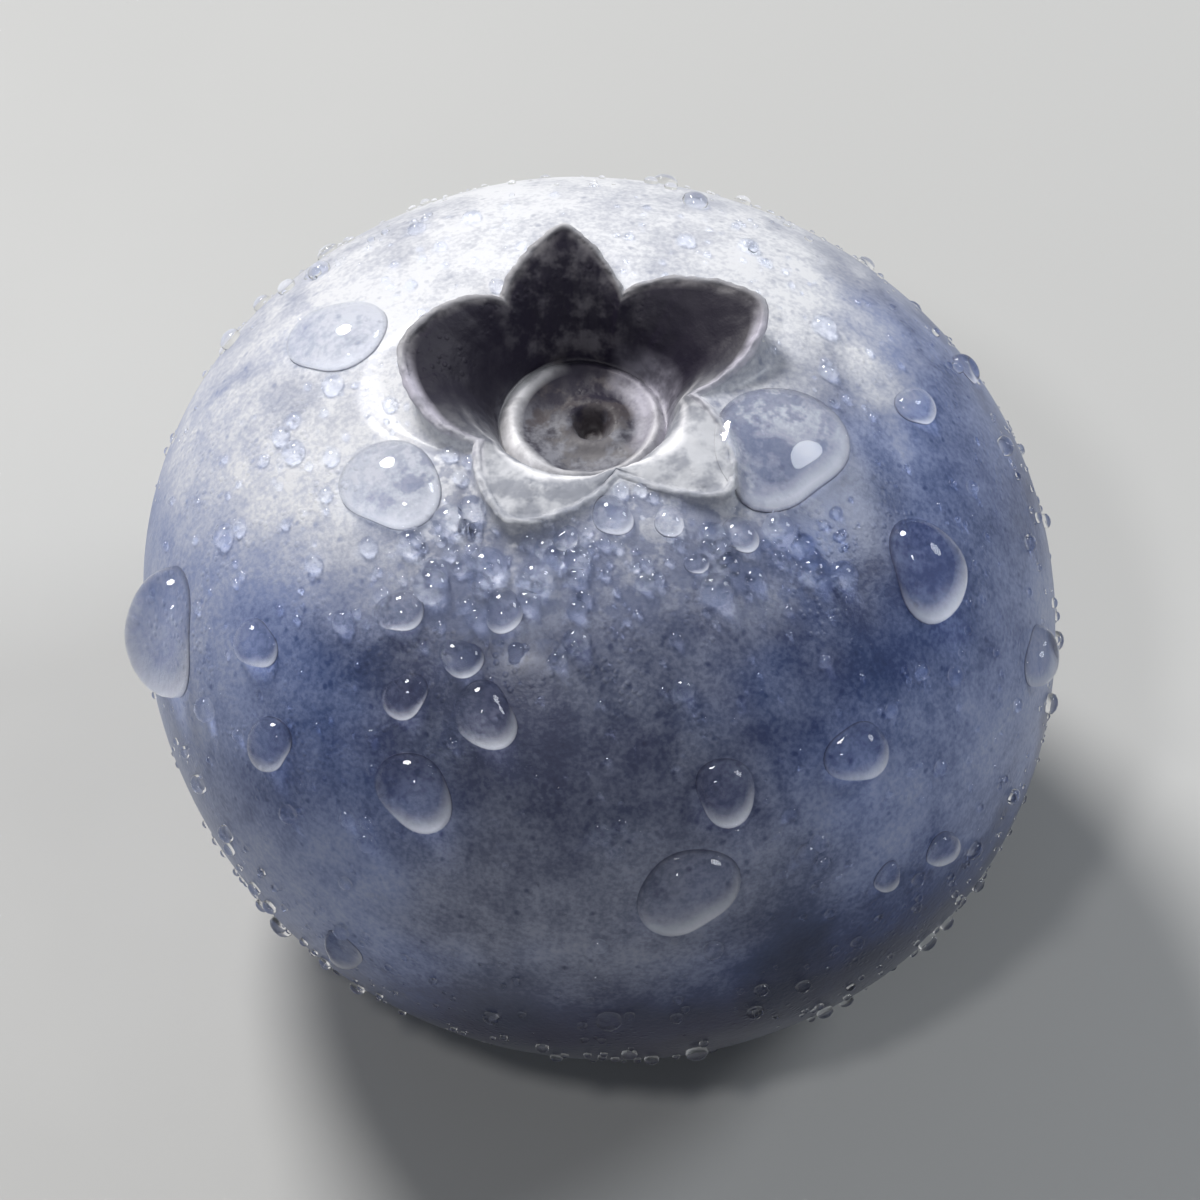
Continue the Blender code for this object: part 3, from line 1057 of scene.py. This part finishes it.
def strewn_tree():
    """Small round drops strewn over the skin, thicker in some places than in others."""
    inputs = {
        "Float": ("Density", "Width", "Smallest", "Patches", "Collar density", "Collar width"),
        "Int": ("Roundness", "Seed"),
        "Material": ("Material",),
    }
    nodes, given, output = geometry_tree("strewn_drops", inputs)
    place = nodes.add("GeometryNodeInputPosition").outputs[0]
    collar = nodes.named("collar")
    thickness = nodes.noise(place, 1, 2)
    nodes.feed(thickness.node.inputs["Scale"], nodes.math("DIVIDE", 1, given["Patches"]))
    density = nodes.range(thickness, 0.38, 0.66, 0.12, 1)
    density = nodes.total(density, nodes.product(collar, given["Collar density"]))
    for name in ("inside", "edge", "stem", "covered"):
        density = nodes.product(density, nodes.opposite(nodes.named(name)))
    height = nodes.parts(place)[2]
    density = nodes.product(density, nodes.range(height, 0.8 * MM, 1.6 * MM))
    density = nodes.product(nodes.product(given["Density"], PER_SQUARE_MM), density)
    settings = {"Mesh": given["Geometry"], "Density": density, "Seed": given["Seed"]}
    points = nodes.add("GeometryNodeDistributePointsOnFaces", settings).outputs

    ball = nodes.add("GeometryNodeMeshIcoSphere", {"Radius": 0.5, "Subdivisions": given["Roundness"]})
    smooth = nodes.add("GeometryNodeSetShadeSmooth", {"Geometry": ball.outputs[0]})
    settings = {"Geometry": smooth.outputs[0], "Scale": (1, 1, 0.7), "Translation": (0, 0, 0.14)}
    dome = nodes.add("GeometryNodeTransform", settings)
    chance = nodes.add("FunctionNodeRandomValue", {"Seed": given["Seed"]}).outputs[1]
    size = nodes.mix_value(nodes.math("POWER", chance, 2.5), given["Smallest"], 1)
    wider = nodes.mix_value(collar, 1, given["Collar width"])
    width = nodes.product(size, given["Width"], wider)
    settings = {
        "Points": points["Points"],
        "Instance": dome.outputs[0],
        "Rotation": points["Rotation"],
        "Scale": nodes.scaled((1, 1, 1), width),
    }
    placed = nodes.add("GeometryNodeInstanceOnPoints", settings)
    end_tree(nodes, output, placed.outputs[0], given["Material"])
    return nodes.tree


def add_piece(mesh, material):
    mesh.materials.append(material)
    piece = new_object(mesh.name, mesh)
    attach(piece, "root")
    return piece


def strewn(source, name, density, width, patches, collar, seed):
    """Strews small drops over an object. Collar is how many more and how much wider in front of the crown.

    The marks of the skin that the drops bring along are removed.
    """
    tree = bpy.data.node_groups.get("strewn_drops") or strewn_tree()
    values = {
        "Density": density,
        "Width": width,
        "Smallest": 0.3,
        "Patches": patches,
        "Collar density": collar[0],
        "Collar width": collar[1],
        "Roundness": 2,
        "Seed": seed,
        "Material": shared_water(),
    }
    made = run_tree(source, tree, values, name)
    attributes = made.data.attributes
    own = ("position", "sharp_face", "material_index")
    brought = [mark.name for mark in attributes if not mark.is_internal and mark.name not in own]
    for mark in brought:
        attributes.remove(attributes[mark])
    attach(made, "root")
    return made


# Studio


def add_light(name, power, size, azimuth, elevation, distance, rgb):
    """A round area light that looks at the berry."""
    lamp = bpy.data.lights.new(name, "AREA")
    lamp.energy = power
    lamp.shape = "DISK"
    lamp.size = size
    lamp.color = rgb
    light = new_object(name, lamp)
    way = toward(azimuth, elevation)
    light.location = way * distance + Vector((0, 0, 7 * MM))
    light.rotation_euler = (-way).to_track_quat("-Z", "Y").to_euler()


def floor_material(studio):
    """A pale, even floor with a hint of tone."""
    material, nodes, shader, _ = new_material("pale_floor")
    tone = nodes.noise(nodes.place(), 9 * MM, 3)
    shade = [0.985 * part for part in studio.floor_colour]
    shown = nodes.mix_colour(tone, shade, studio.floor_colour)
    nodes.feed(shader["Base Color"], shown)
    nodes.feed(shader["Roughness"], nodes.range(tone, 0.3, 0.7, 0.55, 0.65))
    return material


def add_floor(studio):
    shape = bmesh.new()
    bmesh.ops.create_circle(shape, cap_ends=True, segments=64, radius=FLOOR_RADIUS)
    mesh = bpy.data.meshes.new("floor")
    shape.to_mesh(mesh)
    shape.free()
    mesh.materials.append(floor_material(studio))
    mesh.transform(Matrix.Translation((0, 0, -0.01 * MM)))
    floor = new_object("floor", mesh)


def add_camera(studio):
    """A long lens far off, at the photo's viewing angle, framed on the berry."""
    lo, hi = CAD_BOX
    half_width = (hi[0] - lo[0]) / 2
    data = bpy.data.cameras.new("camera")
    data.lens = studio.lens
    data.clip_start = 0.005
    data.clip_end = 10
    half_view = math.atan(data.sensor_width / 2 / data.lens)
    distance = half_width / (1 - studio.margin) / math.tan(half_view)
    back = toward(0, math.degrees(studio.elevation))
    camera = new_object("camera", data)
    camera.location = (lo + hi) / 2 + back * distance
    camera.rotation_euler = (-back).to_track_quat("-Z", "Y").to_euler()
    bpy.context.scene.camera = camera


def add_world(studio):
    world = bpy.data.worlds.new("studio")
    world.use_nodes = True
    background = world.node_tree.nodes["Background"]
    background.inputs["Color"].default_value = (0.78, 0.87, 1, 1)
    background.inputs["Strength"].default_value = studio.world_strength
    bpy.context.scene.world = world
    bpy.context.scene.view_settings.view_transform = "Standard"


# Operators


class BLUEBERRY_OT_berry(bpy.types.Operator):
    """Make the berry's fine skin, crown and scars"""

    bl_idname = "blueberry.berry"
    bl_label = "Berry"

    def execute(self, context):
        berry = context.scene.blueberry
        smooth = new_object("smooth_berry", berry_mesh(berry))
        values = {
            "Skin relief": berry.skin_relief,
            "Crown relief": berry.crown_relief,
            "Scar relief": berry.scar_relief,
            "Material": skin_material(berry),
        }
        made = run_tree(smooth, relief_tree(), values, "berry")
        bpy.data.objects.remove(smooth)
        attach(made, "root")
        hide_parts("blueberry")
        return {"FINISHED"}


class BLUEBERRY_OT_large_drops(bpy.types.Operator):
    """Lay the large drops on the skin"""

    bl_idname = "blueberry.large_drops"
    bl_label = "Large drops"

    def execute(self, context):
        skin = bpy.data.objects["berry"].data
        corners = [vertex.co[:] for vertex in skin.vertices]
        tree = BVHTree.FromPolygons(corners, [face.vertices[:] for face in skin.polygons])
        drops = find_drops(context.scene.blueberry, tree)
        mark_covered(skin, drops)
        ball = sphere_mesh(DROP_SEGMENTS, DROP_RINGS)
        add_piece(joined_balls("large_drops", drops, ball, on_drop), shared_water())
        film = add_piece(wet_skin_mesh(drops, tree, skin), skin.materials[0])
        return {"FINISHED"}


class BLUEBERRY_OT_small_drops(bpy.types.Operator):
    """Strew beads of water and dew over the skin"""

    bl_idname = "blueberry.small_drops"
    bl_label = "Small drops"

    def execute(self, context):
        water = context.scene.blueberry_water
        skin = bpy.data.objects["berry"]
        strewn(skin, "beads", water.bead_density, water.bead_width, 3.5 * MM, (6.0, 1.6), water.seed)
        strewn(skin, "dew", water.dew_density, water.dew_width, 2.2 * MM, (3.0, 1.0), water.seed + 1)
        return {"FINISHED"}


class BLUEBERRY_OT_studio(bpy.types.Operator):
    """Set up the floor, the lights and the camera"""

    bl_idname = "blueberry.studio"
    bl_label = "Studio"

    def execute(self, context):
        studio = context.scene.blueberry_studio
        add_floor(studio)
        add_light("key", studio.key_power, 0.08, LAMP_AZIMUTH, LAMP_ELEVATION, 0.26, (1, 0.985, 0.96))
        add_light("fill", studio.fill_power, 0.30, -12, 32, 0.35, (0.90, 0.95, 1))
        add_light("sparkle", studio.sparkle_power, 0.026, -28, 60, 0.24, (1, 1, 1))
        add_light("rim", studio.rim_power, 0.08, 110, 38, 0.24, (0.93, 0.97, 1))
        add_world(studio)
        add_camera(studio)
        return {"FINISHED"}


class BLUEBERRY_PT_panel(bpy.types.Panel):
    """The operators and all settings, in the sidebar"""

    bl_label = "Blueberry"
    bl_idname = "BLUEBERRY_PT_panel"
    bl_space_type = "VIEW_3D"
    bl_region_type = "UI"
    bl_category = "Blueberry"

    def draw(self, context):
        column = self.layout.column()
        for operator in OPERATORS:
            column.operator(operator.bl_idname)
        for group in GROUPS:
            settings = getattr(context.scene, group)
            for name in settings.__annotations__:
                column.prop(settings, name)


OPERATORS = (
    BLUEBERRY_OT_berry,
    BLUEBERRY_OT_large_drops,
    BLUEBERRY_OT_small_drops,
    BLUEBERRY_OT_studio,
)
GROUPS = {
    "blueberry": BerrySettings,
    "blueberry_water": WaterSettings,
    "blueberry_studio": StudioSettings,
}


def register():
    for made in (*GROUPS.values(), *OPERATORS, BLUEBERRY_PT_panel):
        bpy.utils.register_class(made)
    for name, group in GROUPS.items():
        setattr(bpy.types.Scene, name, bpy.props.PointerProperty(type=group))


def unregister():
    for name in GROUPS:
        delattr(bpy.types.Scene, name)
    for made in reversed((*GROUPS.values(), *OPERATORS, BLUEBERRY_PT_panel)):
        bpy.utils.unregister_class(made)


def main():
    register()
    bpy.ops.blueberry.berry()
    bpy.ops.blueberry.large_drops()
    bpy.ops.blueberry.small_drops()
    bpy.ops.blueberry.studio()


if __name__ == "__main__":
    main()
